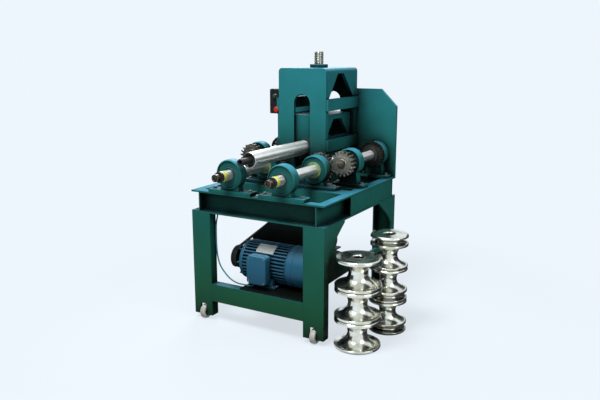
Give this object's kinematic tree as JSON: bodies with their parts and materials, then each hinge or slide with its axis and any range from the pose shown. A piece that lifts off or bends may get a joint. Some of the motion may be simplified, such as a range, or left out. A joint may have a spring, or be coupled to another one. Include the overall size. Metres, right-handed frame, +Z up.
{
  "type": "pipe bending machine",
  "caption": "Electric pipe bending machine with driven rollers, a screw-lowered upper shaft on a steel channel table, geared belt and chain drive, and stacked spare dies.",
  "frame": {"origin": "the middle of the object's outer box on the floor, with the spare dies included", "axes": "+Z up, +X to the right seen from the roller ends, +Y from the roller ends to the back plate"},
  "size_m": [1.1102, 1.2, 1.474],
  "materials": {
    "green_enamel": "glossy dark green enamel on welded steel plate and channel",
    "ground_steel": "ground bright steel bar with oiled gear teeth",
    "blackened_steel": "black oiled steel, satin",
    "grey_enamel": "dark grey painted casting",
    "black_rubber": "matt black belt rubber",
    "blue_enamel": "blue machine enamel on cast aluminium and sheet steel",
    "black_plastic": "moulded black plastic",
    "green_plastic": "moulded green plastic",
    "red_plastic": "moulded red plastic",
    "cable_sheath": "blue-green cable sheath, satin",
    "wheel_tread": "cream rubber tread",
    "polished_steel": "turned steel, polished bright"
  },
  "bodies": {
    "frame": {"back_plate": "green_enamel", "bearing_counter_left": "green_enamel", "bearing_counter_right": "green_enamel", "bearing_front_left": "green_enamel", "bearing_front_right": "green_enamel", "bearing_middle_left": "green_enamel", "bearing_middle_right": "green_enamel", "bearing_rear_left": "green_enamel", "bearing_rear_right": "green_enamel", "control_box": "black_plastic", "cross_member_front": "green_enamel", "cross_member_rear": "green_enamel", "drive_belt": "black_rubber", "drive_chain_left": "blackened_steel", "drive_chain_right": "blackened_steel", "drive_shelf": "green_enamel", "gearbox_housing": "grey_enamel", "head_front_plate": "green_enamel", "head_side_plate_left": "green_enamel", "head_side_plate_right": "green_enamel", "leg_front_left": "green_enamel", "leg_front_right": "green_enamel", "leg_rear_left": "green_enamel", "leg_rear_right": "green_enamel", "lower_front_rail": "green_enamel", "lower_right_rail": "green_enamel", "motor_body": "blue_enamel", "motor_cable": "cable_sheath", "motor_fan_cover": "blue_enamel", "press_nut": "green_enamel", "table_front_channel": "green_enamel", "table_left_channel": "green_enamel", "table_rear_channel": "green_enamel", "table_right_channel": "green_enamel", "terminal_box": "blue_enamel", "twin_groove_die_1": "polished_steel", "twin_groove_die_2": "polished_steel", "twin_groove_die_3": "polished_steel", "wide_groove_die_1": "polished_steel", "wide_groove_die_2": "polished_steel", "wide_groove_die_3": "polished_steel"},
    "carriage": {"carriage": "green_enamel"},
    "screw": {"press_screw": "ground_steel"},
    "upper_shaft": {"upper_shaft": "ground_steel"},
    "gearbox_input": {"gearbox_pulley": "blackened_steel"},
    "motor_rotor": {"motor_pulley": "blackened_steel"},
    "gearbox_output": {"gearbox_sprocket": "blackened_steel"},
    "countershaft_left": {"countershaft_left": "ground_steel", "chain_sprocket_left": "blackened_steel"},
    "countershaft_right": {"countershaft_right": "ground_steel", "chain_sprocket_right": "blackened_steel"},
    "roller_left": {"roller_shaft_left": "ground_steel"},
    "roller_right": {"roller_shaft_right": "ground_steel"},
    "start_button": {"start_button": "green_plastic"},
    "stop_button": {"stop_button": "red_plastic"},
    "wheel_front_left": {"wheel_front_left": "wheel_tread"},
    "wheel_front_right": {"wheel_front_right": "wheel_tread"},
    "wheel_rear_left": {"wheel_rear_left": "wheel_tread"},
    "wheel_rear_right": {"wheel_rear_right": "wheel_tread"}
  },
  "joints": [
    {"name": "carriage_slide", "type": "slide", "parent": "frame", "child": "carriage", "axis": [0, 0, 1], "range_m": [0, 0.13]},
    {"name": "screw_turn", "type": "hinge", "parent": "carriage", "child": "screw", "pos_m": [-0.14507, 0.2225, 1.1213], "axis": [0, 0, 1], "range_deg": [0, 4680]},
    {"name": "upper_shaft_spin", "type": "hinge", "parent": "carriage", "child": "upper_shaft", "pos_m": [-0.14507, -0.508, 0.935], "axis": [0, 1, 0], "continuous": true},
    {"name": "gearbox_input_spin", "type": "hinge", "parent": "frame", "child": "gearbox_input", "pos_m": [-0.37007, 0.095, 0.385], "axis": [1, 0, 0], "continuous": true},
    {"name": "motor_spin", "type": "hinge", "parent": "frame", "child": "motor_rotor", "pos_m": [-0.37007, -0.3, 0.338], "axis": [1, 0, 0], "continuous": true},
    {"name": "gearbox_output_spin", "type": "hinge", "parent": "frame", "child": "gearbox_output", "pos_m": [-0.14507, 0.284, 0.495], "axis": [0, 1, 0], "continuous": true},
    {"name": "countershaft_left_spin", "type": "hinge", "parent": "frame", "child": "countershaft_left", "pos_m": [-0.44307, -0.068, 0.87565], "axis": [0, 1, 0], "continuous": true},
    {"name": "roller_left_spin", "type": "hinge", "parent": "frame", "child": "roller_left", "pos_m": [-0.30407, -0.068, 0.84], "axis": [0, 1, 0], "continuous": true},
    {"name": "countershaft_right_spin", "type": "hinge", "parent": "frame", "child": "countershaft_right", "pos_m": [0.15293, -0.068, 0.87565], "axis": [0, 1, 0], "continuous": true},
    {"name": "roller_right_spin", "type": "hinge", "parent": "frame", "child": "roller_right", "pos_m": [0.01393, -0.068, 0.84], "axis": [0, 1, 0], "continuous": true},
    {"name": "start_button_press", "type": "slide", "parent": "frame", "child": "start_button", "axis": [0, 1, 0], "range_m": [0, 0.004], "stiffness_N_per_m": 400},
    {"name": "stop_button_press", "type": "slide", "parent": "frame", "child": "stop_button", "axis": [0, 1, 0], "range_m": [0, 0.004], "stiffness_N_per_m": 400},
    {"name": "wheel_front_left_spin", "type": "hinge", "parent": "frame", "child": "wheel_front_left", "pos_m": [-0.49507, -0.46, 0.04], "axis": [1, 0, 0], "continuous": true},
    {"name": "wheel_front_right_spin", "type": "hinge", "parent": "frame", "child": "wheel_front_right", "pos_m": [0.20493, -0.46, 0.04], "axis": [1, 0, 0], "continuous": true},
    {"name": "wheel_rear_left_spin", "type": "hinge", "parent": "frame", "child": "wheel_rear_left", "pos_m": [-0.49507, 0.426, 0.04], "axis": [1, 0, 0], "continuous": true},
    {"name": "wheel_rear_right_spin", "type": "hinge", "parent": "frame", "child": "wheel_rear_right", "pos_m": [0.20493, 0.426, 0.04], "axis": [1, 0, 0], "continuous": true}
  ],
  "couplings": [
    {"joint": "screw_turn", "follows": "carriage_slide", "rad_per_m": 628.32},
    {"joint": "motor_spin", "follows": "gearbox_input_spin", "ratio": 1.6703},
    {"joint": "gearbox_output_spin", "follows": "gearbox_input_spin", "ratio": 0.04},
    {"joint": "countershaft_left_spin", "follows": "gearbox_input_spin", "ratio": 0.023333},
    {"joint": "countershaft_right_spin", "follows": "gearbox_input_spin", "ratio": 0.023333},
    {"joint": "roller_left_spin", "follows": "gearbox_input_spin", "ratio": -0.018261},
    {"joint": "roller_right_spin", "follows": "gearbox_input_spin", "ratio": -0.018261}
  ]
}
